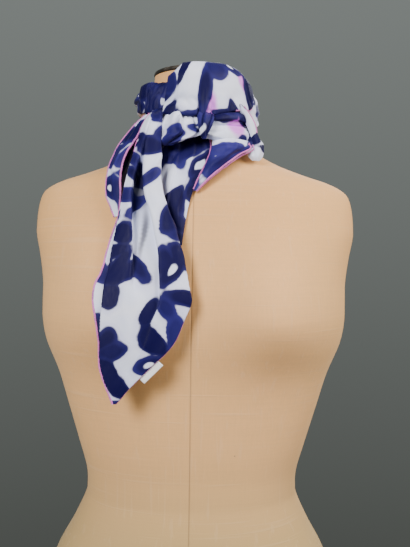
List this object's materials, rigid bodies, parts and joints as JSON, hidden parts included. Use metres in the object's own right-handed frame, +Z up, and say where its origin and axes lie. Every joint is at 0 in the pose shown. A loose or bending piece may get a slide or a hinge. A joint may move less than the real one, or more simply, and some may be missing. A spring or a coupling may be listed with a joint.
{
  "type": "silk square scarf on a limbless dress form",
  "caption": "Printed silk square scarf with a rolled hem, tied in a half knot round the neck of a limbless dress form that stands on its flat underside.",
  "frame": {"origin": "centre of the dress form's flat underside, where it stands", "axes": "+Z up along the form, -Y out of the chest, +X to the right of someone who faces the chest"},
  "size_m": [0.374, 0.2594, 0.7404],
  "materials": {
    "linen": "tan canvas cover with a slub weave",
    "cap": "dark satin disc",
    "silk": "white silk twill printed with navy, blue and lilac blots, pink rolled hem",
    "label": "blank white satin slip"
  },
  "bodies": {
    "root": {"form_torso": "linen", "form_neck_cap": "cap", "wrap_front": "silk", "wrap_left": "silk", "wrap_back": "silk", "band_right": "silk", "knot_loop": "silk", "knot_left": "silk", "end_right": "silk", "flap_left": "silk", "flap_right": "silk", "tail_back": "silk", "tail_front": "silk", "care_label": "label"}
  },
  "joints": []
}
